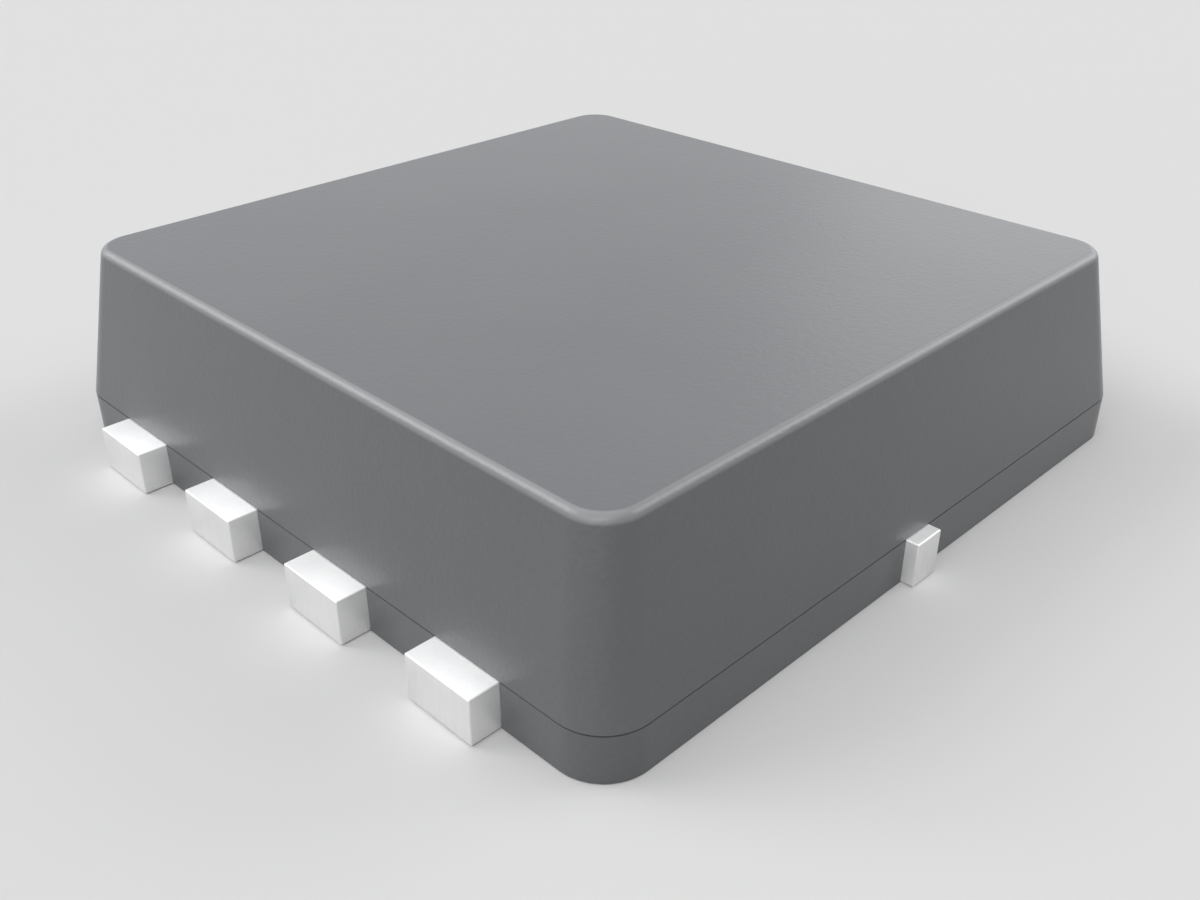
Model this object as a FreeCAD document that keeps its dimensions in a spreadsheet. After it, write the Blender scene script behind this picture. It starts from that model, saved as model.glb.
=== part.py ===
"""An eight-lead power semiconductor package, 3.3 mm across, with its solder lands flush with its underside.

A drafted epoxy body is moulded over a copper leadframe. The die is soldered to the drain paddle, whose
underside is the large solder pad. A formed copper clip carries the source current from the die to three
joined leads, and one bond wire goes to the gate lead. Millimetres, +Z up. The origin is the middle of the
footprint, on the plane that the lands are soldered to. Source and gate leads are at -X, drain leads at +X.
Leads are numbered from the source lead at the +Y end: three source leads, the gate lead, four drain leads.
"""

import FreeCAD, Part

import math
import os
import re
import sys

import Sketcher

VEC = FreeCAD.Vector
UP = VEC(0, 0, 1)
SAME = 1e-4  # two places closer than this are one place
CLEAR = 1.0  # how far a cutting outline runs past what it cuts
DRAIN_LEADS = 4
SOURCE_LEADS = 3
CLIP_SLOTS = 2

# Driving dimensions, in millimetres and degrees.
SIZES = {
    # moulded body
    "body_length": 3.05,  # along X, at the parting line
    "body_width": 3.10,  # along Y, at the parting line
    "body_height": 0.80,
    "draft_angle": 10.3,  # of the walls above the parting line
    "low_corner_radius": 0.18,  # upright corners, at and below the parting line
    "top_corner_radius": 0.14,  # the same corners at the top face
    "top_edge_radius": 0.035,
    # leads
    "lead_thickness": 0.175,  # of the whole leadframe, and the height of the parting line
    "lead_pitch": 0.65,
    "lead_width": 0.30,
    "lead_protrusion": 0.115,  # of a lead's tip beyond the wall
    "land_length": 0.42,  # of a source or gate land, from its tip
    "land_gap": 0.80,  # between those lands and the drain pad
    "etch_depth": 0.09,  # taken off the underside where the mould locks under the copper
    "post_setback": 0.22,  # from a lead's tip to its inner post
    "post_depth": 0.40,
    "gate_post_width": 0.42,
    # drain paddle
    "drain_finger_length": 0.40,  # of a drain lead, from its tip to the pad
    "pad_side_margin": 0.375,  # from the body's side to the pad
    "pad_corner_radius": 0.08,
    "lock_ledge": 0.07,  # how far the half-etched rim reaches past the pad
    "tie_bar_width": 0.14,
    "tie_bar_protrusion": 0.05,
    # die and solder
    "die_end_margin": 0.08,  # from the pad's edges to the die, along X
    "die_side_margin": 0.125,  # the same along Y
    "die_thickness": 0.10,
    "solder_thickness": 0.03,
    "solder_spread": 0.05,  # of the die's solder past its edges
    # source clip
    "clip_thickness": 0.15,
    "clip_side_margin": 0.13,  # from the die's sides to the clip
    "clip_end_margin": 0.14,  # from the die's ends to where the clip lies on it
    "clip_bridge_rise": 0.065,  # of the bridge above the part that lies on the die
    "clip_ramp_angle": 40.0,
    "clip_bend_radius": 0.05,  # inside each bend
    "clip_foot_length": 0.32,
    "clip_foot_margin": 0.04,  # from the post's edges to the clip's foot
    "clip_slot_width": 0.10,
    "clip_slot_length": 0.40,
    # gate
    "gate_pad_size": 0.20,
    "gate_pad_margin": 0.07,  # from the die's edges to the gate pad
    "gate_clearance": 0.19,  # from the gate pad to the clip's notch
    "ball_diameter": 0.10,
    "ball_height": 0.024,
    "ball_rim_radius": 0.01,
    "wire_diameter": 0.04,
    "wire_loop_height": 0.16,  # of the wire's axis above the die
    "wire_knee": 0.35,  # from the ball to where the loop starts down
    "wire_shoulder_radius": 0.06,
    "wire_knee_radius": 0.25,
    "wire_landing_radius": 0.15,
    "wire_landing_length": 0.08,
    "wire_landing_height": 0.024,  # of the wire's axis above the post
    "stitch_setback": 0.12,  # from the post's inner edge
    "stitch_length": 0.10,
    "stitch_width": 0.07,
    "stitch_height": 0.03,
}

# Places and sizes worked out from those above.
DERIVED = {
    # body and leads
    "half_length": "body_length / 2",
    "half_width": "body_width / 2",
    "draft_run": "(body_height - lead_thickness) * tan(draft_angle * 1 deg)",
    "top_length": "body_length - 2 * draft_run",
    "top_width": "body_width - 2 * draft_run",
    "tip_x": "half_length + lead_protrusion",
    "half_lead": "lead_width / 2",
    "pin_one_y": "1.5 * lead_pitch",
    "pin_three_y": "-0.5 * lead_pitch",
    "pin_four_y": "-1.5 * lead_pitch",
    "post_outer_x": "-tip_x + post_setback",
    "post_inner_x": "post_outer_x + post_depth",
    "gate_post_side_y": "pin_four_y - half_lead + gate_post_width",
    # drain paddle
    "pad_near_x": "-tip_x + land_length + land_gap",
    "pad_far_x": "tip_x - drain_finger_length",
    "half_pad": "half_width - pad_side_margin",
    # die
    "die_near_x": "pad_near_x + die_end_margin",
    "die_far_x": "pad_far_x - die_end_margin",
    "half_die": "half_pad - die_side_margin",
    "die_base_z": "lead_thickness + solder_thickness",
    "die_top_z": "die_base_z + die_thickness",
    # the clip's underside, along X and up
    "foot_tip_x": "post_outer_x + clip_foot_margin",
    "foot_heel_x": "foot_tip_x + clip_foot_length",
    "foot_z": "lead_thickness + solder_thickness",
    "plateau_near_x": "die_near_x + clip_end_margin",
    "plateau_far_x": "die_far_x - clip_end_margin",
    "plateau_z": "die_top_z + solder_thickness",
    "bridge_z": "plateau_z + clip_bridge_rise",
    "ramp_slope": "tan(clip_ramp_angle * 1 deg)",
    "ramp_top_x": "foot_heel_x + (bridge_z - foot_z) / ramp_slope",
    "bridge_end_x": "plateau_near_x - clip_bridge_rise / ramp_slope",
    # the clip across
    "half_clip": "half_die - clip_side_margin",
    "bend_shift": "clip_thickness * tan(clip_ramp_angle * 0.5 deg)",
    "notch_x": "gate_x + gate_pad_size / 2 + gate_clearance",
    "notch_y": "pin_three_y - half_lead + clip_foot_margin",
    "slot_x": "(foot_heel_x + bridge_end_x) / 2",
    "finger_pitch": "(half_clip - notch_y) / 3",
    "slot_y": "notch_y + finger_pitch",
    # gate pad, stitch, and the wire between them
    "gate_x": "die_near_x + gate_pad_margin + gate_pad_size / 2",
    "gate_y": "-half_die + gate_pad_margin + gate_pad_size / 2",
    "stitch_x": "post_inner_x - stitch_setback",
    "stitch_y": "gate_post_side_y - gate_post_width / 2",
    "wire_span": "hypot(gate_x - stitch_x; gate_y - stitch_y)",
    "wire_heading": "atan((gate_y - stitch_y) / (gate_x - stitch_x))",
    "wire_drop": "die_top_z - lead_thickness",
}

doc = FreeCAD.newDocument("power_package")
sheet = doc.addObject("Spreadsheet::Sheet", "Dimensions")
for row, (alias, number) in enumerate(SIZES.items(), start=1):
    sheet.set(f"A{row}", alias)
    sheet.set(f"B{row}", str(number))
    sheet.setAlias(f"B{row}", alias)
doc.recompute()


def bound(text):
    """The text as an expression on the sheet's cells, with each worked-out name written out in full."""

    def write_out(match):
        name = match.group()
        if name in SIZES:
            return "Dimensions." + name
        if name in DERIVED:
            return "(" + bound(DERIVED[name]) + ")"
        return name

    return re.sub(r"[a-z_]+", write_out, text)


def measured(text):
    """The number that an expression stands for now."""
    found = sheet.evalExpression(bound(text))
    return float(getattr(found, "Value", found))


def new_body(label):
    """An empty body whose label names its file."""
    body = doc.addObject("PartDesign::Body", label)
    body.Label = label
    return body


def new_sketch(body, name, plane="XY_Plane", height=None):
    """A sketch on one of the body's own origin planes, raised along its normal to a height."""
    sketch = body.newObject("Sketcher::SketchObject", name)
    base = next(f for f in body.Origin.OriginFeatures if f.Role == plane)
    sketch.AttachmentSupport = [(base, "")]
    sketch.MapMode = "FlatFace"
    if height:
        sketch.setExpression("AttachmentOffset.Base.z", bound(height))
    return sketch


def tie(sketch, kind, *parts, to):
    """One dimension of a sketch, bound to the sheet."""
    index = sketch.addConstraint(Sketcher.Constraint(kind, *parts, measured(to)))
    sketch.setExpression(f"Constraints[{index}]", bound(to))


def place_point(sketch, shape, end, x, y):
    """Hold one point of a sketch at the place that two expressions give."""
    tie(sketch, "DistanceX", -1, 1, shape, end, to=x)
    tie(sketch, "DistanceY", -1, 1, shape, end, to=y)


def outline(sketch, corners):
    """A closed outline of straight lines through corners, each an (x, y) pair of expressions."""
    points = [VEC(measured(x), measured(y), 0) for x, y in corners]
    lines = [
        sketch.addGeometry(Part.LineSegment(start, end), False)
        for start, end in zip(points, points[1:] + points[:1])
    ]
    for line, following in zip(lines, lines[1:] + lines[:1]):
        sketch.addConstraint(Sketcher.Constraint("Coincident", line, 2, following, 1))
    for line, (x, y) in zip(lines, corners):
        place_point(sketch, line, 1, x, y)


def rectangle(sketch, low_x, high_x, low_y, high_y):
    """A rectangle between four expressions."""
    outline(sketch, [(low_x, low_y), (high_x, low_y), (high_x, high_y), (low_x, high_y)])


def rounded_rectangle(sketch, length, width, radius):
    """A rectangle about the origin with four equal round corners: arcs and lines in turn, all tangent."""
    reach_x = measured(f"{length} / 2 - {radius}")
    reach_y = measured(f"{width} / 2 - {radius}")
    arcs = []
    for quarter, (side_x, side_y) in enumerate([(1, -1), (1, 1), (-1, 1), (-1, -1)]):
        circle = Part.Circle(VEC(side_x * reach_x, side_y * reach_y, 0), UP, measured(radius))
        start = (quarter - 1) * math.pi / 2
        arcs.append(sketch.addGeometry(Part.ArcOfCircle(circle, start, start + math.pi / 2), False))
    for quarter, arc in enumerate(arcs):
        following = arcs[(quarter + 1) % len(arcs)]
        side = Part.LineSegment(sketch.getPoint(arc, 2), sketch.getPoint(following, 1))
        line = sketch.addGeometry(side, False)
        sketch.addConstraint(Sketcher.Constraint("Tangent", arc, 2, line, 1))
        sketch.addConstraint(Sketcher.Constraint("Tangent", line, 2, following, 1))
        sketch.addConstraint(Sketcher.Constraint("Horizontal" if quarter % 2 else "Vertical", line))
    for arc in arcs[1:]:
        sketch.addConstraint(Sketcher.Constraint("Equal", arcs[0], arc))
    sketch.addConstraint(Sketcher.Constraint("Symmetric", arcs[0], 3, arcs[2], 3, -1, 1))
    tie(sketch, "Radius", arcs[0], to=radius)
    tie(sketch, "DistanceX", arcs[2], 3, arcs[0], 3, to=f"{length} - 2 * {radius}")
    tie(sketch, "DistanceY", arcs[0], 3, arcs[2], 3, to=f"{width} - 2 * {radius}")


def rounded_path(sketch, corners, radii):
    """An open path of straight runs through corners, with a tangent arc where two runs meet."""
    points = [VEC(measured(x), measured(y), 0) for x, y in corners]
    run_ends = [points[0]]
    arcs = []
    for before, corner, after, radius in zip(points, points[1:], points[2:], radii):
        size = measured(radius)
        back = (before - corner).normalize()
        ahead = (after - corner).normalize()
        half_angle = back.getAngle(ahead) / 2
        centre = corner + (back + ahead).normalize() * (size / math.sin(half_angle))
        enters = corner + back * (size / math.tan(half_angle))
        leaves = corner + ahead * (size / math.tan(half_angle))
        turns_left = (corner - before).cross(after - corner).z > 0
        first, last = (enters, leaves) if turns_left else (leaves, enters)
        angles = [math.atan2(end.y - centre.y, end.x - centre.x) for end in (first, last)]
        arc = sketch.addGeometry(Part.ArcOfCircle(Part.Circle(centre, UP, size), *angles), False)
        tie(sketch, "Radius", arc, to=radius)
        arcs.append((arc, 1, 2) if turns_left else (arc, 2, 1))
        run_ends += [enters, leaves]
    run_ends.append(points[-1])
    runs = [
        sketch.addGeometry(Part.LineSegment(start, end), False)
        for start, end in zip(run_ends[::2], run_ends[1::2])
    ]
    for (arc, enters, leaves), run, following in zip(arcs, runs, runs[1:]):
        sketch.addConstraint(Sketcher.Constraint("Tangent", run, 2, arc, enters))
        sketch.addConstraint(Sketcher.Constraint("Tangent", arc, leaves, following, 1))
    place_point(sketch, runs[0], 1, *corners[0])
    place_point(sketch, runs[-1], 2, *corners[-1])
    for run, following, point, (x, y) in zip(runs, runs[1:], points[1:], corners[1:]):
        corner = sketch.addGeometry(Part.Point(point), True)
        place_point(sketch, corner, 1, x, y)
        sketch.addConstraint(Sketcher.Constraint("PointOnObject", corner, 1, run))
        sketch.addConstraint(Sketcher.Constraint("PointOnObject", corner, 1, following))


def circle(sketch, diameter, x="0", y="0"):
    """A circle about a place that two expressions give."""
    centre = VEC(measured(x), measured(y), 0)
    ring = sketch.addGeometry(Part.Circle(centre, UP, measured(diameter) / 2), False)
    place_point(sketch, ring, 3, x, y)
    tie(sketch, "Diameter", ring, to=diameter)


def pad(body, name, sketch, length):
    """A sketch raised along its normal."""
    feature = body.newObject("PartDesign::Pad", name)
    feature.Profile = sketch
    feature.setExpression("Length", bound(length))
    doc.recompute()
    return feature


def cut_through(body, name, sketch):
    """A pocket through everything, both ways. The build stops if it removes nothing."""
    before = body.Shape.Volume
    feature = body.newObject("PartDesign::Pocket", name)
    feature.Profile = sketch
    feature.Type = "ThroughAll"
    feature.Midplane = True
    doc.recompute()
    if body.Shape.Volume >= before:
        sys.exit(f"{name} cut nothing")
    return feature


def repeat_along_y(body, name, feature, count, spacing):
    """Copies of a feature, evenly spaced towards +Y."""
    pattern = body.newObject("PartDesign::LinearPattern", name)
    pattern.Originals = [feature]
    pattern.Direction = (next(f for f in body.Origin.OriginFeatures if f.Role == "Y_Axis"), [""])
    pattern.Occurrences = count
    pattern.setExpression("Length", bound(f"{count - 1} * {spacing}"))
    body.Tip = pattern
    doc.recompute()
    return pattern


def round_edges(body, name, radius, chosen):
    """A fillet on every edge whose bounding box the chooser picks."""
    base = body.Tip
    names = [f"Edge{i}" for i, edge in enumerate(base.Shape.Edges, start=1) if chosen(edge.BoundBox)]
    feature = body.newObject("PartDesign::Fillet", name)
    feature.Base = (base, names)
    feature.setExpression("Radius", bound(radius))
    doc.recompute()
    return feature


def is_upright(box):
    """Whether an edge with this bounding box runs straight up."""
    return box.XLength < SAME and box.YLength < SAME


def lies_at(height):
    """A chooser of the edges that lie level at a height."""
    level = measured(height)
    return lambda box: abs(box.ZMin - level) < SAME and abs(box.ZMax - level) < SAME


def crosses_at(places):
    """A chooser of the edges that run along Y through one of some (x, z) places."""
    spots = [(measured(x), measured(z)) for x, z in places]

    def chosen(box):
        runs_along_y = box.XLength < SAME and box.ZLength < SAME
        return runs_along_y and any(abs(box.XMin - x) + abs(box.ZMin - z) < SAME for x, z in spots)

    return chosen


def make_envelope():
    """The moulded body's outside: upright to the parting line, drafted above it, with a rounded top rim."""
    body = new_body("mould_envelope")
    foot = new_sketch(body, "foot_outline")
    rounded_rectangle(foot, "body_length", "body_width", "low_corner_radius")
    pad(body, "below_parting_line", foot, "lead_thickness")

    parting = new_sketch(body, "parting_outline", height="lead_thickness")
    rounded_rectangle(parting, "body_length", "body_width", "low_corner_radius")
    top = new_sketch(body, "top_outline", height="body_height")
    rounded_rectangle(top, "top_length", "top_width", "top_corner_radius")
    doc.recompute()
    above = body.newObject("PartDesign::AdditiveLoft", "above_parting_line")
    above.Profile = parting
    above.Sections = [top]
    above.Ruled = True
    doc.recompute()
    round_edges(body, "top_rim", "top_edge_radius", lies_at("body_height"))
    return body


def make_drain_leadframe():
    """One sheet of copper: the paddle with its half-etched rim, two tie bars and four drain leads."""
    body = new_body("drain_leadframe")
    rim = new_sketch(body, "rim_outline", height="etch_depth")
    rectangle(
        rim,
        "pad_near_x - lock_ledge",
        "pad_far_x + lock_ledge",
        "-half_pad - lock_ledge",
        "half_pad + lock_ledge",
    )
    pad(body, "half_etched_rim", rim, "lead_thickness - etch_depth")
    exposed = new_sketch(body, "pad_outline")
    rectangle(exposed, "pad_near_x", "pad_far_x", "-half_pad", "half_pad")
    pad(body, "exposed_pad", exposed, "lead_thickness")
    round_edges(body, "paddle_corners", "pad_corner_radius", is_upright)

    bars = new_sketch(body, "tie_bar_outline")
    reach = "half_width + tie_bar_protrusion"
    rectangle(bars, "-tie_bar_width / 2", "tie_bar_width / 2", f"-({reach})", reach)
    pad(body, "tie_bars", bars, "lead_thickness")

    lead = new_sketch(body, "drain_lead_outline")
    rectangle(lead, "pad_far_x - lead_width", "tip_x", "pin_four_y - half_lead", "pin_four_y + half_lead")
    first = pad(body, "pin_five", lead, "lead_thickness")
    repeat_along_y(body, "pins_five_to_eight", first, DRAIN_LEADS, "lead_pitch")
    return body


def make_source_lead():
    """Three lands joined inside the mould by a half-etched post, which carries the clip's foot."""
    body = new_body("source_lead")
    land = new_sketch(body, "source_land_outline")
    rectangle(land, "-tip_x", "-tip_x + land_length", "pin_three_y - half_lead", "pin_three_y + half_lead")
    first = pad(body, "pin_three", land, "lead_thickness")
    repeat_along_y(body, "pins_three_to_one", first, SOURCE_LEADS, "lead_pitch")
    post = new_sketch(body, "source_post_outline", height="etch_depth")
    rectangle(post, "post_outer_x", "post_inner_x", "pin_three_y - half_lead", "pin_one_y + half_lead")
    pad(body, "source_post", post, "lead_thickness - etch_depth")
    return body


def make_gate_lead():
    """One land with a half-etched post, widened for the wire's stitch."""
    body = new_body("gate_lead")
    land = new_sketch(body, "gate_land_outline")
    rectangle(land, "-tip_x", "-tip_x + land_length", "pin_four_y - half_lead", "pin_four_y + half_lead")
    pad(body, "pin_four", land, "lead_thickness")
    post = new_sketch(body, "gate_post_outline", height="etch_depth")
    rectangle(post, "post_outer_x", "post_inner_x", "pin_four_y - half_lead", "gate_post_side_y")
    pad(body, "gate_post", post, "lead_thickness - etch_depth")
    return body


def make_silicon_die():
    """The transistor chip, a sawn block of silicon."""
    die = doc.addObject("Part::Box", "silicon_die")
    die.Label = "silicon_die"
    die.setExpression("Length", bound("die_far_x - die_near_x"))
    die.setExpression("Width", bound("2 * half_die"))
    die.setExpression("Height", bound("die_thickness"))
    die.setExpression("Placement.Base.x", bound("die_near_x"))
    die.setExpression("Placement.Base.y", bound("-half_die"))
    die.setExpression("Placement.Base.z", bound("die_base_z"))
    return die


def make_die_attach_solder():
    """The solder under the die, which slopes up to the die's edges from where it has spread."""
    body = new_body("die_attach_solder")
    spread = new_sketch(body, "solder_outline", height="lead_thickness")
    rectangle(
        spread,
        "die_near_x - solder_spread",
        "die_far_x + solder_spread",
        "-half_die - solder_spread",
        "half_die + solder_spread",
    )
    layer = pad(body, "sloping_layer", spread, "solder_thickness")
    layer.setExpression("TaperAngle", bound("-atan(solder_spread / solder_thickness)"))
    return body


def make_source_clip():
    """A formed copper strip: a foot on the source post, a ramp, a bridge, and a flat on the die."""
    body = new_body("source_clip")
    under = [
        ("foot_tip_x", "foot_z"),
        ("foot_heel_x", "foot_z"),
        ("ramp_top_x", "bridge_z"),
        ("bridge_end_x", "bridge_z"),
        ("plateau_near_x", "plateau_z"),
        ("plateau_far_x", "plateau_z"),
    ]
    shifts = ["0", "-bend_shift", "-bend_shift", "bend_shift", "bend_shift", "0"]
    over = [(f"{x} + {shift}", f"{z} + clip_thickness") for (x, z), shift in zip(under, shifts)]
    side = new_sketch(body, "clip_side_view", plane="XZ_Plane")
    outline(side, under + over[::-1])
    strip = pad(body, "clip_strip", side, "2 * half_clip")
    strip.Midplane = True
    doc.recompute()
    hollows = [over[1], under[2], under[3], over[4]]
    crowns = [under[1], over[2], over[3], under[4]]
    round_edges(body, "bends_inside", "clip_bend_radius", crosses_at(hollows))
    round_edges(body, "bends_outside", "clip_bend_radius + clip_thickness", crosses_at(crowns))

    notch = new_sketch(body, "gate_notch_outline")
    rectangle(notch, f"foot_tip_x - {CLEAR}", "notch_x", f"-half_clip - {CLEAR}", "notch_y")
    cut_through(body, "gate_notch", notch)
    slot = new_sketch(body, "finger_slot_outline")
    rectangle(
        slot,
        "slot_x - clip_slot_length / 2",
        "slot_x + clip_slot_length / 2",
        "slot_y - clip_slot_width / 2",
        "slot_y + clip_slot_width / 2",
    )
    first = cut_through(body, "finger_slot", slot)
    repeat_along_y(body, "finger_slots", first, CLIP_SLOTS, "finger_pitch")
    return body


def make_clip_die_solder():
    """The solder between the clip and the die, clear of the gate pad."""
    body = new_body("clip_die_solder")
    contact = new_sketch(body, "clip_contact_outline", height="die_top_z")
    outline(
        contact,
        [
            ("notch_x", "-half_clip"),
            ("plateau_far_x", "-half_clip"),
            ("plateau_far_x", "half_clip"),
            ("plateau_near_x", "half_clip"),
            ("plateau_near_x", "notch_y"),
            ("notch_x", "notch_y"),
        ],
    )
    pad(body, "clip_contact_layer", contact, "solder_thickness")
    return body


def make_clip_lead_solder():
    """The solder between the clip's foot and the source post."""
    body = new_body("clip_lead_solder")
    contact = new_sketch(body, "foot_contact_outline", height="lead_thickness")
    rectangle(contact, "foot_tip_x", "foot_heel_x", "notch_y", "half_clip")
    pad(body, "foot_contact_layer", contact, "solder_thickness")
    return body


def make_gate_wire():
    """The bond wire, modelled from its ball at the origin towards -X and then set between die and post."""
    body = new_body("gate_wire")
    ball = new_sketch(body, "ball_outline")
    circle(ball, "ball_diameter")
    pad(body, "ball_bond", ball, "ball_height")
    round_edges(body, "ball_rim", "ball_rim_radius", lies_at("ball_height"))

    landing_z = "wire_landing_height - wire_drop"
    route = new_sketch(body, "wire_route", plane="XZ_Plane")
    rounded_path(
        route,
        [
            ("0", "0"),
            ("0", "wire_loop_height"),
            ("-wire_knee", "wire_loop_height"),
            ("-wire_span + wire_landing_length", landing_z),
            ("-wire_span", landing_z),
        ],
        ["wire_shoulder_radius", "wire_knee_radius", "wire_landing_radius"],
    )
    section = new_sketch(body, "wire_section")
    circle(section, "wire_diameter")
    doc.recompute()
    loop = body.newObject("PartDesign::AdditivePipe", "wire_loop")
    loop.Profile = section
    loop.Spine = (route, [])
    doc.recompute()

    stitch = new_sketch(body, "stitch_outline", height="-wire_drop")
    rectangle(
        stitch,
        "-wire_span - stitch_length / 2",
        "-wire_span + stitch_length / 2",
        "-stitch_width / 2",
        "stitch_width / 2",
    )
    pad(body, "stitch_bond", stitch, "stitch_height")
    body.setExpression("Placement.Base.x", bound("gate_x"))
    body.setExpression("Placement.Base.y", bound("gate_y"))
    body.setExpression("Placement.Base.z", bound("die_top_z"))
    body.setExpression("Placement.Rotation.Angle", bound("wire_heading"))
    return body


def make_mould_body(embedded):
    """The epoxy: its outside, less everything that it is moulded round."""
    held = doc.addObject("Part::MultiFuse", "held_pieces")
    held.Shapes = embedded
    mould = doc.addObject("Part::Cut", "mould_body")
    mould.Label = "mould_body"
    mould.Base = make_envelope()
    mould.Tool = held
    return mould


pieces = [
    make_drain_leadframe(),
    make_source_lead(),
    make_gate_lead(),
    make_die_attach_solder(),
    make_silicon_die(),
    make_clip_die_solder(),
    make_clip_lead_solder(),
    make_source_clip(),
    make_gate_wire(),
]
doc.recompute()
pieces.append(make_mould_body(list(pieces)))
doc.recompute()

failed = [made.Label for made in doc.Objects if {"Invalid", "Error"} & set(made.State)]
failed += [piece.Label for piece in pieces if piece.Shape.isNull() or not piece.Shape.isValid()]
if failed:
    sys.exit(f"not made: {failed}")
os.makedirs("parts", exist_ok=True)
for piece in pieces:
    piece.Shape.exportStep(f"parts/{piece.Label}.step")
    box = piece.Shape.BoundBox
    size = f"{box.XLength:.3f} x {box.YLength:.3f} x {box.ZLength:.3f} mm"
    print(f"{piece.Label}: {len(piece.Shape.Solids)} solid, {piece.Shape.Volume:.5f} mm3, {size}")
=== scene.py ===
"""Looks of an eight-lead power semiconductor package, seen close up on a pale bench.

Shapes are worked in millimetres, where the smallest edge is a few micrometres, and are set down in metres.
"""

import logging
import math
from dataclasses import dataclass, field
from enum import Enum

import bmesh
import bpy
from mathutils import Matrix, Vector


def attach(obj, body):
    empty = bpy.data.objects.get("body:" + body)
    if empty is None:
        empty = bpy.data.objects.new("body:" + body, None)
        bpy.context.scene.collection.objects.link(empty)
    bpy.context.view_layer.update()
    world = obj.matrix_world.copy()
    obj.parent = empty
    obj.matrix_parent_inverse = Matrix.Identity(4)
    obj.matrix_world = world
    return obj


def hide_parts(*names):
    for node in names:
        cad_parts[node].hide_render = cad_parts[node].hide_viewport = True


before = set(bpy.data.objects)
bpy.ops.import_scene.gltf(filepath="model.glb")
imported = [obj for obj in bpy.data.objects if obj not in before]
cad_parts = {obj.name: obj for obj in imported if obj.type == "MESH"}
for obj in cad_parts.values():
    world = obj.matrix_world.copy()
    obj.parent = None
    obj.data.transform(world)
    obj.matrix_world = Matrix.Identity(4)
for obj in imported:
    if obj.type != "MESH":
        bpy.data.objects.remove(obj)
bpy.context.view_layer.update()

MM = 0.001
BODY = "root"
WELD = 0.0005
FLAT_WITHIN = math.radians(1.0)
log = logging.getLogger("package")

Colour = tuple[float, float, float]
Socket = bpy.types.NodeSocket

# Which values of a pattern count as its low and its high.
CRISP = (0.3, 0.7)
GENTLE = (0.1, 0.9)
WHOLE = (0.0, 1.0)


class Side(Enum):
    """How a face of a lead was left, in the order of the lead's materials."""

    PLATED = 0
    SHEARED = 1


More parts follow.
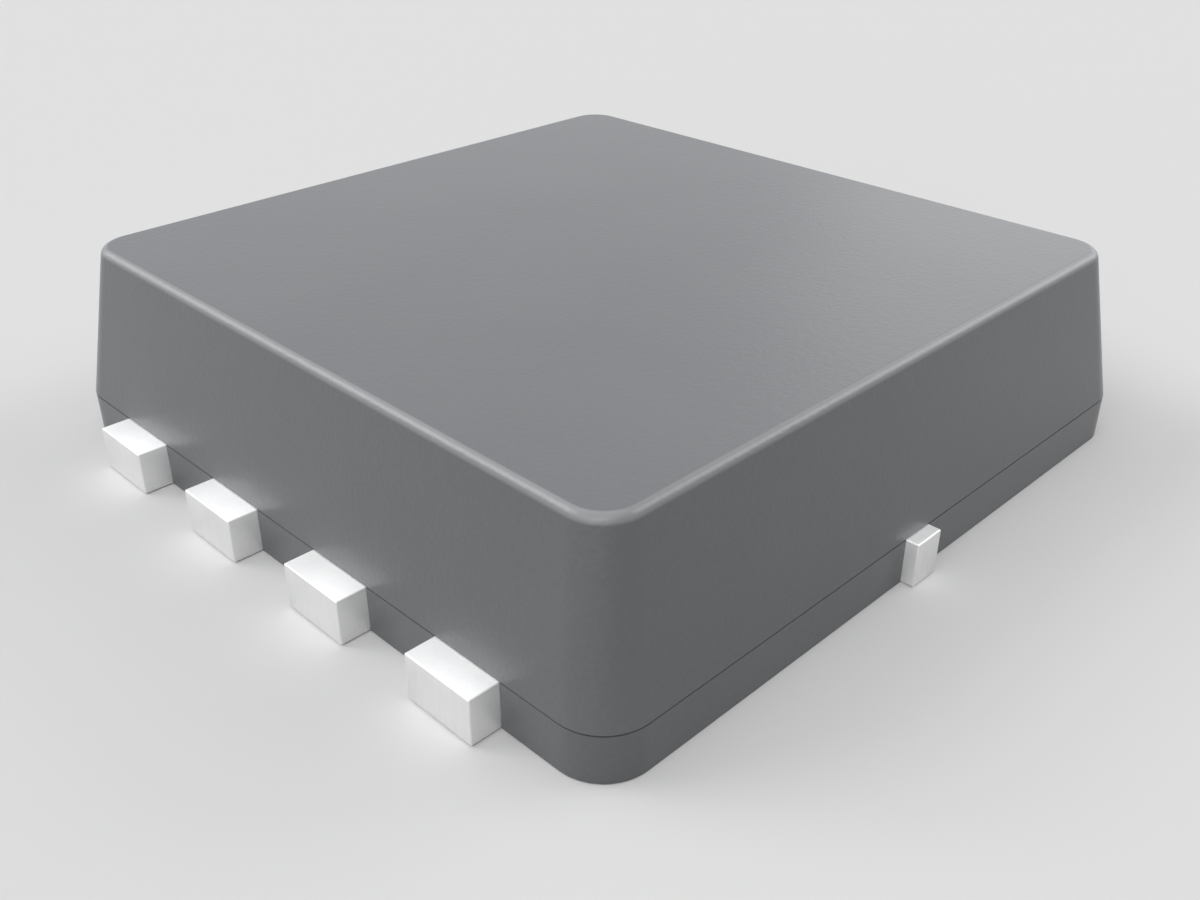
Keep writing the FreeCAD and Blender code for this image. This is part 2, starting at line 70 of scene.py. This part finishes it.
class Bench:
    """A node tree being wired, with its pattern coordinates in millimetres."""

    def __init__(self, name: str) -> None:
        """Start a material whose shader is already joined to its output.

        Args:
            name: the material's name.
        """
        self.material = bpy.data.materials.new(name)
        self.material.use_nodes = True
        self.nodes = self.material.node_tree.nodes
        self.links = self.material.node_tree.links
        self.shader = self.nodes["Principled BSDF"]
        place = self.nodes.new("ShaderNodeTexCoord")
        self.place = self.nodes.new("ShaderNodeMapping")
        self.place.inputs["Scale"].default_value = (1 / MM, 1 / MM, 1 / MM)
        self.join(place.outputs["Object"], self.place.inputs["Vector"])

    def join(self, source: Socket, target: Socket) -> None:
        """Link two sockets."""
        self.links.new(source, target)

    def stretched(self, scale: tuple[float, float, float]) -> Socket:
        """The pattern coordinates drawn out along some axes.

        Args:
            scale: how much each axis is multiplied by.

        Returns:
            The stretched vector.
        """
        stretch = self.nodes.new("ShaderNodeMapping")
        stretch.inputs["Scale"].default_value = scale
        self.join(self.place.outputs["Vector"], stretch.inputs["Vector"])
        return stretch.outputs["Vector"]

    def axes(self) -> bpy.types.NodeOutputs:
        """The pattern coordinates one by one.

        Returns:
            The sockets X, Y and Z.
        """
        split = self.nodes.new("ShaderNodeSeparateXYZ")
        self.join(self.place.outputs["Vector"], split.inputs["Vector"])
        return split.outputs

    def noise(self, scale: float, detail: float = 2.0, vector: Socket | None = None) -> Socket:
        """A cloudy pattern.

        Args:
            scale: blobs per millimetre.
            detail: how many finer layers it has.
            vector: coordinates, if not the plain ones.

        Returns:
            Its value, about 0.5 on average.
        """
        cloud = self.nodes.new("ShaderNodeTexNoise")
        cloud.inputs["Scale"].default_value = scale
        cloud.inputs["Detail"].default_value = detail
        self.join(vector or self.place.outputs["Vector"], cloud.inputs["Vector"])
        return cloud.outputs["Fac"]

    def between(
        self, source: Socket, low: float, high: float, edges: tuple[float, float] = CRISP
    ) -> Socket:
        """A pattern brought into a range.

        Args:
            source: the pattern.
            low: what its low values become.
            high: what its high values become.
            edges: the pattern's values that count as low and high.

        Returns:
            The ranged value.
        """
        ranged = self.nodes.new("ShaderNodeMapRange")
        ranged.inputs["From Min"].default_value = edges[0]
        ranged.inputs["From Max"].default_value = edges[1]
        ranged.inputs["To Min"].default_value = low
        ranged.inputs["To Max"].default_value = high
        self.join(source, ranged.inputs["Value"])
        return ranged.outputs["Result"]

    def worked_out(self, operation: str, first: Socket, second: Socket | float | None = None) -> Socket:
        """One step of arithmetic.

        Args:
            operation: what is done.
            first: a value.
            second: another value or a plain number, if the operation takes two.

        Returns:
            The result.
        """
        step = self.nodes.new("ShaderNodeMath")
        step.operation = operation
        self.join(first, step.inputs[0])
        if isinstance(second, Socket):
            self.join(second, step.inputs[1])
        elif second is not None:
            step.inputs[1].default_value = second
        return step.outputs["Value"]

    def sum_of(self, first: Socket, *others: Socket) -> Socket:
        """Several values added up.

        Args:
            first: a value.
            *others: what is added to it.

        Returns:
            The total.
        """
        total = first
        for other in others:
            total = self.worked_out("ADD", total, other)
        return total

    def mixed(self, factor: Socket, first: Colour | Socket, second: Colour | Socket) -> Socket:
        """One colour turning into another.

        Args:
            factor: 0 for the first, 1 for the second.
            first: a colour, or a pattern of colours.
            second: a colour, or a pattern of colours.

        Returns:
            The mixed colour.
        """
        mix = self.nodes.new("ShaderNodeMix")
        mix.data_type = "RGBA"
        wells = [socket for socket in mix.inputs if socket.type == "RGBA"]
        for well, colour in zip(wells, (first, second)):
            if isinstance(colour, Socket):
                self.join(colour, well)
            else:
                well.default_value = (*colour, 1.0)
        self.join(factor, mix.inputs[0])
        return next(socket for socket in mix.outputs if socket.type == "RGBA")

    def rough_up(self, height: Socket, micrometres: float) -> None:
        """Give the surface relief, at full strength.

        Args:
            height: a pattern from 0 to 1.
            micrometres: how deep the relief is.
        """
        bump = self.nodes.new("ShaderNodeBump")
        bump.inputs["Distance"].default_value = micrometres * MM * MM
        bump.inputs["Strength"].default_value = 1.0
        self.join(height, bump.inputs["Height"])
        self.join(bump.outputs["Normal"], self.shader.inputs["Normal"])


@dataclass(frozen=True)
class MouldedEpoxy:
    """Filled epoxy from a spark-eroded mould: matte grey, finely grained, with a paler colour painted on
    its rim as a highlight.
    """

    colour: Colour = (0.157, 0.161, 0.169)
    dark: Colour = (0.130, 0.134, 0.142)
    # A paler colour, painted on the rounded rim as a highlight.
    rim_highlight_colour: Colour = (0.250, 0.255, 0.265)
    roughness: tuple[float, float] = (0.27, 0.35)
    ior: float = 1.58
    relief: float = 1.1
    clouds_per_mm: float = 1.6
    cloud_detail: float = 3.0
    cloud_share: float = 0.3
    specks_per_mm: float = 70.0
    speck_detail: float = 1.0
    grains_per_mm: float = 52.0
    waves_per_mm: float = 9.0
    wave_share: float = 0.15
    grain_detail: float = 1.0
    rim_foot: tuple[float, float] = (0.768, 0.778)
    rim_crest: tuple[float, float] = (0.7982, 0.7998)
    # The weakest share of the painted rim highlight, where the clouds are low.
    least_rim_highlight: float = 0.85

    def painted_highlight_band(self, bench: Bench) -> Socket:
        """1 on the rounded rim, where a paler colour is painted as a highlight, and 0 on the walls and the
        flat top.

        Args:
            bench: the material being made.

        Returns:
            The mask.
        """
        height = bench.axes()["Z"]
        above_walls = bench.between(height, 0.0, 1.0, self.rim_foot)
        below_top = bench.between(height, 1.0, 0.0, self.rim_crest)
        return bench.worked_out("MULTIPLY", above_walls, below_top)

    def grain(self, bench: Bench) -> Socket:
        """The fine grain and the broader waves that the mould's surface leaves.

        Args:
            bench: the material being made.

        Returns:
            Their height, from 0 to 1.
        """
        fine = bench.noise(self.grains_per_mm, self.grain_detail)
        broad = bench.noise(self.waves_per_mm, self.grain_detail)
        return bench.sum_of(
            bench.between(fine, 0.0, 1.0 - self.wave_share, WHOLE),
            bench.between(broad, 0.0, self.wave_share, WHOLE),
        )

    def material(self) -> bpy.types.Material:
        """Wire the finish.

        Returns:
            The material.
        """
        bench = Bench("moulded_epoxy")
        clouds = bench.noise(self.clouds_per_mm, self.cloud_detail)
        specks = bench.noise(self.specks_per_mm, self.speck_detail)
        tone = bench.sum_of(
            bench.between(clouds, 0.0, self.cloud_share),
            bench.between(specks, 0.0, 1.0 - self.cloud_share, GENTLE),
        )
        plain = bench.mixed(tone, self.dark, self.colour)
        patchy = bench.between(clouds, self.least_rim_highlight, 1.0)
        # The rounded rim is painted paler as a highlight, stronger in some patches than in others.
        painted_rim_highlight = bench.worked_out("MULTIPLY", self.painted_highlight_band(bench), patchy)
        bench.join(bench.mixed(painted_rim_highlight, plain, self.rim_highlight_colour), bench.shader.inputs["Base Color"])
        bench.join(bench.between(specks, *self.roughness, GENTLE), bench.shader.inputs["Roughness"])
        bench.shader.inputs["IOR"].default_value = self.ior
        bench.rough_up(self.grain(bench), self.relief)
        return bench.material


@dataclass(frozen=True)
class TinPlate:
    """Matte tin over copper. Inside the mould the copper is bare."""

    name: str = "matte_tin"
    colour: Colour = (0.95, 0.95, 0.945)
    grey: Colour = (0.90, 0.90, 0.90)
    copper: Colour = (0.78, 0.42, 0.27)
    metallic: float = 0.55
    roughness: tuple[float, float] = (0.36, 0.48)
    relief: float = 0.3
    drawn: tuple[float, float, float] = (1.0, 1.0, 1.0)
    grains_per_mm: float = 90.0
    grain_share: float = 0.6
    clouds_per_mm: float = 5.0
    reach: tuple[float, float] = (1.50, 1.525)
    skin: float = 0.01

    def outside(self, bench: Bench) -> Socket:
        """1 where the metal shows outside the mould, 0 where it is inside.

        Args:
            bench: the material being made.

        Returns:
            The mask.
        """
        axes = bench.axes()
        masks = [bench.worked_out("LESS_THAN", axes["Z"], self.skin)]
        for axis, limit in zip("XY", self.reach):
            distance = bench.worked_out("ABSOLUTE", axes[axis])
            masks.append(bench.worked_out("GREATER_THAN", distance, limit))
        return bench.between(bench.sum_of(*masks), 0.0, 1.0, WHOLE)

    def material(self) -> bpy.types.Material:
        """Wire the finish.

        Returns:
            The material.
        """
        bench = Bench(self.name)
        grain = bench.noise(self.grains_per_mm, vector=bench.stretched(self.drawn))
        clouds = bench.noise(self.clouds_per_mm)
        tone = bench.sum_of(
            bench.between(grain, 0.0, self.grain_share),
            bench.between(clouds, 0.0, 1.0 - self.grain_share),
        )
        tin = bench.mixed(tone, self.grey, self.colour)
        plated = bench.mixed(self.outside(bench), self.copper, tin)
        bench.join(plated, bench.shader.inputs["Base Color"])
        bench.shader.inputs["Metallic"].default_value = self.metallic
        bench.join(bench.between(clouds, *self.roughness), bench.shader.inputs["Roughness"])
        bench.rough_up(grain, self.relief)
        return bench.material


@dataclass(frozen=True)
class WorkedMetal:
    """A metal or chip surface with lines or grains left by how it was made."""

    name: str
    colour: Colour
    shade: Colour
    metallic: float
    roughness: tuple[float, float]
    drawn: tuple[float, float, float]
    lines_per_mm: float
    relief: float
    line_detail: float = 3.0

    def material(self) -> bpy.types.Material:
        """Wire the finish.

        Returns:
            The material.
        """
        bench = Bench(self.name)
        lines = bench.noise(self.lines_per_mm, self.line_detail, bench.stretched(self.drawn))
        tone = bench.mixed(bench.between(lines, 0.0, 1.0), self.shade, self.colour)
        bench.join(tone, bench.shader.inputs["Base Color"])
        bench.shader.inputs["Metallic"].default_value = self.metallic
        bench.join(bench.between(lines, *self.roughness), bench.shader.inputs["Roughness"])
        bench.rough_up(lines, self.relief)
        return bench.material


def merged_copy(node: str) -> bmesh.types.BMesh:
    """A closed copy of a construction node, in millimetres.

    Args:
        node: the node's name.

    Returns:
        The copy, with its flat faces whole.
    """
    shape = bmesh.new()
    shape.from_mesh(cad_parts[node].data)
    bmesh.ops.scale(shape, vec=(1 / MM, 1 / MM, 1 / MM), verts=shape.verts)
    bmesh.ops.remove_doubles(shape, verts=shape.verts, dist=WELD)
    bmesh.ops.dissolve_limit(shape, angle_limit=FLAT_WITHIN, verts=shape.verts, edges=shape.edges)
    bmesh.ops.recalc_face_normals(shape, faces=shape.faces)
    return shape


def round_off(
    shape: bmesh.types.BMesh,
    edges: list[bmesh.types.BMEdge],
    offset: float,
    steps: int,
    clamp_overlap: bool = False,
) -> None:
    """Bevel some edges.

    Args:
        shape: the shape.
        edges: its edges that are bevelled.
        offset: how far the bevel reaches on each face.
        steps: how many faces it has across.
        clamp_overlap: whether it stays narrower where two bevels would meet.
    """
    bmesh.ops.bevel(
        shape,
        geom=edges,
        offset=offset,
        segments=steps,
        profile=0.5,
        affect="EDGES",
        material=-1,
        clamp_overlap=clamp_overlap,
    )


def temporary(shape: bmesh.types.BMesh, name: str) -> bpy.types.Object:
    """An object made from a shape, in the shape's own unit.

    Args:
        shape: the shape, which is used up.
        name: the object's name.

    Returns:
        The linked object.
    """
    mesh = bpy.data.meshes.new(name)
    shape.to_mesh(mesh)
    shape.free()
    made = bpy.data.objects.new(name, mesh)
    bpy.context.scene.collection.objects.link(made)
    return made


def set_down(shape: bmesh.types.BMesh, name: str, smooth_below: float) -> bpy.types.Object:
    """Turn a finished shape into a piece that rides on the package.

    Args:
        shape: the shape in millimetres, which is used up.
        name: the piece's name.
        smooth_below: faces that meet at less than this many degrees are shaded as one surface.

    Returns:
        The piece.
    """
    bmesh.ops.scale(shape, vec=(MM, MM, MM), verts=shape.verts)
    piece = temporary(shape, name)
    piece.data.shade_smooth()
    piece.data.set_sharp_from_angle(angle=math.radians(smooth_below))
    keep_flats = piece.modifiers.new("keep_flats_flat", "WEIGHTED_NORMAL")
    keep_flats.keep_sharp = True
    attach(piece, BODY)
    log.info("%s: %d faces", name, len(piece.data.polygons))
    return piece


@dataclass
class MouldBody:
    """The epoxy body, open underneath and at its sides where the leads come through."""

    length: float = 3.05
    width: float = 3.10
    height: float = 0.80
    parting: float = 0.175
    draft: float = math.radians(10.3)
    low_corner: float = 0.18
    top_corner: float = 0.14
    corner_steps: int = 24
    rim: float = 0.035
    rim_steps: int = 12
    witness_half_width: float = 0.003
    witness_depth: float = 0.012
    witness_steps: int = 3
    pressed_share: float = 0.6
    run_past: float = 0.02
    smooth_below: float = 8.5
    held: tuple[str, ...] = (
        "drain_leadframe",
        "source_lead",
        "gate_lead",
        "die_attach_solder",
        "silicon_die",
        "clip_die_solder",
        "source_clip",
        "clip_lead_solder",
        "gate_wire",
    )
    finish: MouldedEpoxy = field(default_factory=MouldedEpoxy)

    def draw_in(self, vertex: bmesh.types.BMVert) -> None:
        """Move a point of the parting outline to the same place on the top outline.

        Args:
            vertex: the point, already at the top's height.
        """
        side = Vector((math.copysign(1, vertex.co.x), math.copysign(1, vertex.co.y), 0))
        run = (self.height - self.parting) * math.tan(self.draft)
        half = Vector((self.length / 2, self.width / 2, 0))
        low_centre = (half - Vector((self.low_corner, self.low_corner, 0))) * side
        top_centre = (half - Vector((run + self.top_corner, run + self.top_corner, 0))) * side
        outward = (vertex.co - low_centre) / self.low_corner
        vertex.co.x = top_centre.x + outward.x * self.top_corner
        vertex.co.y = top_centre.y + outward.y * self.top_corner

    def mark_parting_line(self, shape: bmesh.types.BMesh) -> None:
        """Press the fine line where the two mould halves met.

        Args:
            shape: the body's outer form.
        """
        ring = [
            edge
            for edge in shape.edges
            if all(abs(end.co.z - self.parting) < self.witness_depth for end in edge.verts)
        ]
        round_off(shape, ring, self.witness_half_width, self.witness_steps)
        shape.normal_update()
        for vertex in shape.verts:
            if abs(vertex.co.z - self.parting) < self.witness_half_width * self.pressed_share:
                outward = Vector((vertex.normal.x, vertex.normal.y, 0)).normalized()
                vertex.co -= outward * self.witness_depth

    @staticmethod
    def top_face(shape: bmesh.types.BMesh) -> bmesh.types.BMFace:
        """The highest face of a shape."""
        return max(shape.faces, key=lambda face: face.calc_center_median().z)

    def outside(self) -> bmesh.types.BMesh:
        """The body's outer form as one closed solid.

        Returns:
            The solid.
        """
        shape = bmesh.new()
        bmesh.ops.create_cube(shape, size=1.0)
        bmesh.ops.translate(shape, vec=(0, 0, 0.5), verts=shape.verts)
        bmesh.ops.scale(shape, vec=(self.length, self.width, self.parting), verts=shape.verts)
        uprights = [
            edge
            for edge in shape.edges
            if abs(edge.verts[0].co.z - edge.verts[1].co.z) > self.parting / 2
        ]
        round_off(shape, uprights, self.low_corner, self.corner_steps)
        lid = self.top_face(shape)
        raised = bmesh.ops.extrude_face_region(shape, geom=[lid])["geom"]
        # The extrusion leaves the face that it started from, which would be a wall across the inside.
        if lid.is_valid:
            bmesh.ops.delete(shape, geom=[lid], context="FACES_ONLY")
        ring = [part for part in raised if isinstance(part, bmesh.types.BMVert)]
        bmesh.ops.translate(shape, vec=(0, 0, self.height - self.parting), verts=ring)
        for vertex in ring:
            self.draw_in(vertex)
        self.mark_parting_line(shape)
        turn = math.pi / 2 - self.draft
        round_off(shape, list(self.top_face(shape).edges), self.rim * math.tan(turn / 2), self.rim_steps)
        bmesh.ops.recalc_face_normals(shape, faces=shape.faces)
        return shape

    def room_walls(self, shape: bmesh.types.BMesh) -> list[bmesh.types.BMFace]:
        """The walls of the rooms cut well inside the body, where a corner may lie on a straight edge.

        Args:
            shape: the opened form.

        Returns:
            The walls.
        """
        half = Vector((self.length / 2 - self.low_corner, self.width / 2 - self.low_corner))
        walls = []
        for face in shape.faces:
            centre = face.calc_center_median()
            in_plan = abs(centre.x) < half.x and abs(centre.y) < half.y
            if in_plan and self.run_past < centre.z < self.height - self.rim:
                walls.append(face)
        return walls

    def room_for(self, node: str) -> bpy.types.Object:
        """What is cut out of the body for one piece that it holds.

        Args:
            node: the construction node.

        Returns:
            The cutter, run out past the body's underside where the piece reaches it.
        """
        cutter = merged_copy(node)
        bmesh.ops.triangulate(cutter, faces=cutter.faces)
        for vertex in cutter.verts:
            if vertex.co.z < self.run_past / 2:
                vertex.co.z = -self.run_past
        return temporary(cutter, f"room_for_{node}")

    def opened(self, outside: bmesh.types.BMesh) -> bmesh.types.BMesh:
        """Cut the room for every piece that the body holds out of it.

        Args:
            outside: the closed outer form, which is used up.

        Returns:
            The opened form.
        """
        block = temporary(outside, "block")
        cutters = [self.room_for(node) for node in self.held]
        for cutter in cutters:
            cut = block.modifiers.new(cutter.name, "BOOLEAN")
            cut.operation = "DIFFERENCE"
            cut.solver = "EXACT"
            cut.object = cutter
        bpy.context.view_layer.update()
        seen = block.evaluated_get(bpy.context.evaluated_depsgraph_get())
        result = bpy.data.meshes.new_from_object(seen)
        shape = bmesh.new()
        shape.from_mesh(result)
        # Left whole, some of these walls would be split at export into triangles without area.
        walls = self.room_walls(shape)
        bmesh.ops.triangulate(shape, faces=walls, quad_method="BEAUTY", ngon_method="BEAUTY")
        for scrap in (block, *cutters):
            bpy.data.objects.remove(scrap)
        bpy.data.meshes.remove(result)
        return shape

    def build(self) -> bpy.types.Object:
        """Make the body.

        Returns:
            The finished piece.
        """
        shape = self.opened(self.outside())
        piece = set_down(shape, "mould_shell", self.smooth_below)
        piece.data.materials.append(self.finish.material())
        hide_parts("mould_body")
        return piece


@dataclass
class LeadSet:
    """The three copper pieces that reach outside, with worn-soft edges and sheared tips."""

    edge: float = 0.006
    edge_steps: int = 3
    sharp_above: float = 30.0
    smooth_below: float = 35.0
    tip: tuple[float, float] = (1.62, 1.58)
    level_above: float = 0.5
    parts: tuple[tuple[str, str], ...] = (
        ("drain_leadframe", "drain_frame"),
        ("source_lead", "source_terminal"),
        ("gate_lead", "gate_terminal"),
    )
    plate: TinPlate = field(default_factory=TinPlate)
    shear: TinPlate = field(
        default_factory=lambda: TinPlate(
            name="sheared_tin", drawn=(1.0, 1.0, 0.12), grains_per_mm=60.0, relief=0.4
        )
    )

    def side_of(self, face: bmesh.types.BMFace) -> Side:
        """Whether a face is a sheared tip.

        Args:
            face: a face of a lead.

        Returns:
            The side it counts as.
        """
        centre = face.calc_center_median()
        at_end = abs(centre.x) > self.tip[0] or abs(centre.y) > self.tip[1]
        level = abs(face.normal.z) > self.level_above
        return Side.SHEARED if at_end and not level else Side.PLATED

    def build_one(self, node: str, name: str, finishes: list[bpy.types.Material]) -> bpy.types.Object:
        """One copper piece.

        Args:
            node: the construction node it stands for.
            name: the piece's name.
            finishes: the materials of plated and sheared faces.

        Returns:
            The piece.
        """
        shape = merged_copy(node)
        least = math.radians(self.sharp_above)
        sharp = [edge for edge in shape.edges if edge.calc_face_angle(0.0) > least]
        round_off(shape, sharp, self.edge, self.edge_steps, clamp_overlap=True)
        shape.normal_update()
        for face in shape.faces:
            face.material_index = self.side_of(face).value
        piece = set_down(shape, name, self.smooth_below)
        for finish in finishes:
            piece.data.materials.append(finish)
        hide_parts(node)
        return piece

    def build(self) -> list[bpy.types.Object]:
        """All three pieces."""
        finishes = [self.plate.material(), self.shear.material()]
        return [self.build_one(node, name, finishes) for node, name in self.parts]


@dataclass
class Inside:
    """The pieces sealed in the mould, which keep their construction shapes."""

    clip: WorkedMetal = WorkedMetal(
        name="rolled_copper",
        colour=(0.83, 0.46, 0.30),
        shade=(0.74, 0.38, 0.24),
        metallic=1.0,
        roughness=(0.26, 0.40),
        drawn=(0.15, 4.0, 4.0),
        lines_per_mm=12.0,
        relief=0.6,
    )
    wire: WorkedMetal = WorkedMetal(
        name="drawn_copper",
        colour=(0.85, 0.47, 0.31),
        shade=(0.78, 0.41, 0.26),
        metallic=1.0,
        roughness=(0.18, 0.30),
        drawn=(0.1, 6.0, 6.0),
        lines_per_mm=30.0,
        relief=0.2,
    )
    chip: WorkedMetal = WorkedMetal(
        name="sawn_silicon",
        colour=(0.33, 0.34, 0.37),
        shade=(0.24, 0.25, 0.28),
        metallic=0.7,
        roughness=(0.15, 0.32),
        drawn=(3.0, 3.0, 0.3),
        lines_per_mm=20.0,
        relief=0.3,
    )
    solder: WorkedMetal = WorkedMetal(
        name="reflowed_solder",
        colour=(0.60, 0.60, 0.61),
        shade=(0.46, 0.46, 0.47),
        metallic=0.9,
        roughness=(0.35, 0.55),
        drawn=(1.0, 1.0, 1.0),
        lines_per_mm=18.0,
        relief=1.2,
    )

    def dress(self) -> None:
        """Give each sealed piece its finish."""
        worn_by = {
            self.clip: ("source_clip",),
            self.wire: ("gate_wire",),
            self.chip: ("silicon_die",),
            self.solder: ("die_attach_solder", "clip_die_solder", "clip_lead_solder"),
        }
        for finish, names in worn_by.items():
            material = finish.material()
            for name in names:
                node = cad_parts[name]
                node.data.materials.clear()
                node.data.materials.append(material)
                log.info("%s: %s", name, material.name)


@dataclass(frozen=True)
class Lamp:
    """One broad lamp, far enough away to light every side of the package evenly."""

    name: str
    shines_from: tuple[float, float, float]
    irradiance: float
    spread: float

    def hang(self) -> None:
        """Put the lamp up."""
        lamp = bpy.data.lights.new(self.name, "SUN")
        lamp.energy = self.irradiance * math.pi
        lamp.angle = math.radians(self.spread)
        holder = bpy.data.objects.new(self.name, lamp)
        holder.rotation_euler = Vector(self.shines_from).to_track_quat("Z", "Y").to_euler()
        bpy.context.scene.collection.objects.link(holder)


@dataclass
class Studio:
    """A pale bench top, broad lamps, an even sky and the camera."""

    floor_size: float = 400.0
    floor_gap: float = 0.003
    floor_seen: float = 0.72
    floor_bounce: float = 0.24
    sky: float = 0.05
    sky_seen: float = 0.9
    sky_colour: Colour = (0.96, 0.975, 1.0)
    lamps: tuple[Lamp, ...] = (
        Lamp("key_lamp", (-0.30, 0.15, 0.94), 0.44, 90.0),
        Lamp("ceiling_lamp", (0.1, 0.0, 1.0), 0.10, 120.0),
        Lamp("left_lamp", (-0.48, 0.61, 0.63), 0.18, 28.0),
        Lamp("left_back_lamp", (-0.33, 0.86, 0.40), 0.11, 28.0),
        Lamp("right_lamp", (0.61, -0.48, 0.63), 0.135, 28.0),
        Lamp("right_back_lamp", (0.86, -0.33, 0.40), 0.11, 28.0),
        Lamp("far_lamp", (1.0, 0.15, 0.40), 0.12, 50.0),
        Lamp("front_lamp", (-0.80, -0.36, 0.34), 0.245, 60.0),
        Lamp("front_high_lamp", (-0.48, -0.48, 0.74), 0.08, 26.0),
    )
    eye: tuple[float, float, float] = (-3.2630, -3.2740, 2.5333)
    looks_along: tuple[float, float, float] = (0.61237, 0.61237, -0.5)
    sensor_width: float = 36.0
    focal_in_widths: float = 1236.4 / 1200
    nearest_seen: float = 0.1

    @staticmethod
    def seen_directly(nodes: bpy.types.Nodes, links: bpy.types.NodeLinks) -> Socket:
        """1 for what the camera, reflections and clear things see, 0 for the light that a surface scatters.

        Args:
            nodes: the tree's nodes.
            links: the tree's links.

        Returns:
            The value.
        """
        path = nodes.new("ShaderNodeLightPath")
        seen = path.outputs["Is Camera Ray"]
        for kind in ("Is Glossy Ray", "Is Transmission Ray"):
            either = nodes.new("ShaderNodeMath")
            either.operation = "MAXIMUM"
            links.new(seen, either.inputs[0])
            links.new(path.outputs[kind], either.inputs[1])
            seen = either.outputs["Value"]
        return seen

    def lay_floor(self) -> None:
        """The bench top, just under the lands."""
        shape = bmesh.new()
        bmesh.ops.create_grid(shape, x_segments=1, y_segments=1, size=self.floor_size / 2 * MM)
        bmesh.ops.translate(shape, vec=(0, 0, -self.floor_gap * MM), verts=shape.verts)
        floor = temporary(shape, "bench_top")
        bench = Bench("bench_paint")
        seen = self.seen_directly(bench.nodes, bench.links)
        paint = bench.mixed(seen, (self.floor_bounce,) * 3, (self.floor_seen,) * 3)
        bench.join(paint, bench.shader.inputs["Base Color"])
        bench.shader.inputs["Roughness"].default_value = 1.0
        bench.shader.inputs["Specular IOR Level"].default_value = 0.0
        floor.data.materials.append(bench.material)

    def light_sky(self) -> None:
        """An even sky, which the camera and reflections see as nearly white."""
        world = bpy.data.worlds.new("even_sky")
        world.use_nodes = True
        nodes, links = world.node_tree.nodes, world.node_tree.links
        strength = nodes.new("ShaderNodeMapRange")
        strength.inputs["To Min"].default_value = self.sky
        strength.inputs["To Max"].default_value = self.sky_seen
        links.new(self.seen_directly(nodes, links), strength.inputs["Value"])
        links.new(strength.outputs["Result"], nodes["Background"].inputs["Strength"])
        nodes["Background"].inputs["Color"].default_value = (*self.sky_colour, 1.0)
        bpy.context.scene.world = world

    def place_camera(self) -> None:
        """The camera where the photograph was taken from."""
        camera = bpy.data.cameras.new("close_up")
        camera.sensor_fit = "HORIZONTAL"
        camera.sensor_width = self.sensor_width
        camera.lens = self.sensor_width * self.focal_in_widths
        camera.clip_start = self.nearest_seen * MM
        camera.clip_end = self.floor_size * MM * 2
        holder = bpy.data.objects.new("close_up", camera)
        holder.location = Vector(self.eye) * MM
        holder.rotation_euler = Vector(self.looks_along).to_track_quat("-Z", "Y").to_euler()
        bpy.context.scene.collection.objects.link(holder)
        bpy.context.scene.camera = holder

    def build(self) -> None:
        """Everything round the package."""
        self.lay_floor()
        for lamp in self.lamps:
            lamp.hang()
        self.light_sky()
        self.place_camera()
        bpy.context.scene.view_settings.view_transform = "Standard"


def main() -> None:
    """Build the package's pieces, then the studio."""
    logging.basicConfig(level=logging.INFO)
    MouldBody().build()
    LeadSet().build()
    Inside().dress()
    Studio().build()


if __name__ == "__main__":
    main()
